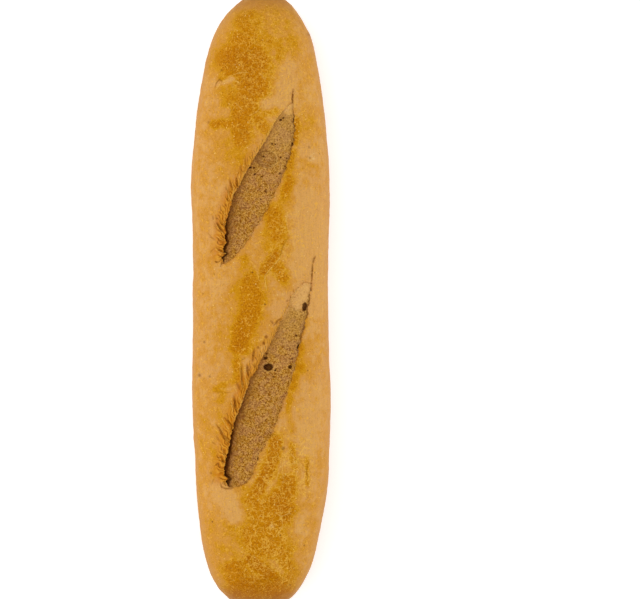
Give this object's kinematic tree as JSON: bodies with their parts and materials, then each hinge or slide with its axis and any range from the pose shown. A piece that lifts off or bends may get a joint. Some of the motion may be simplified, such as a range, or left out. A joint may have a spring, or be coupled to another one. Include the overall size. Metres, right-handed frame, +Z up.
{
  "type": "baguette",
  "caption": "Short crusty baguette lying flat: long rounded loaf with slanting opened scores, lifted pleated crust lips and pores in the torn floor.",
  "frame": {"origin": "middle of the loaf's bounding rectangle, on the flat sole it lies on", "axes": "+Z up; +Y along the loaf towards its slimmer end; +X to the right, looking down with +Y away"},
  "size_m": [0.0614, 0.27, 0.0457],
  "materials": {
    "crust": null
  },
  "bodies": {
    "root": {"loaf": "crust"}
  },
  "joints": []
}
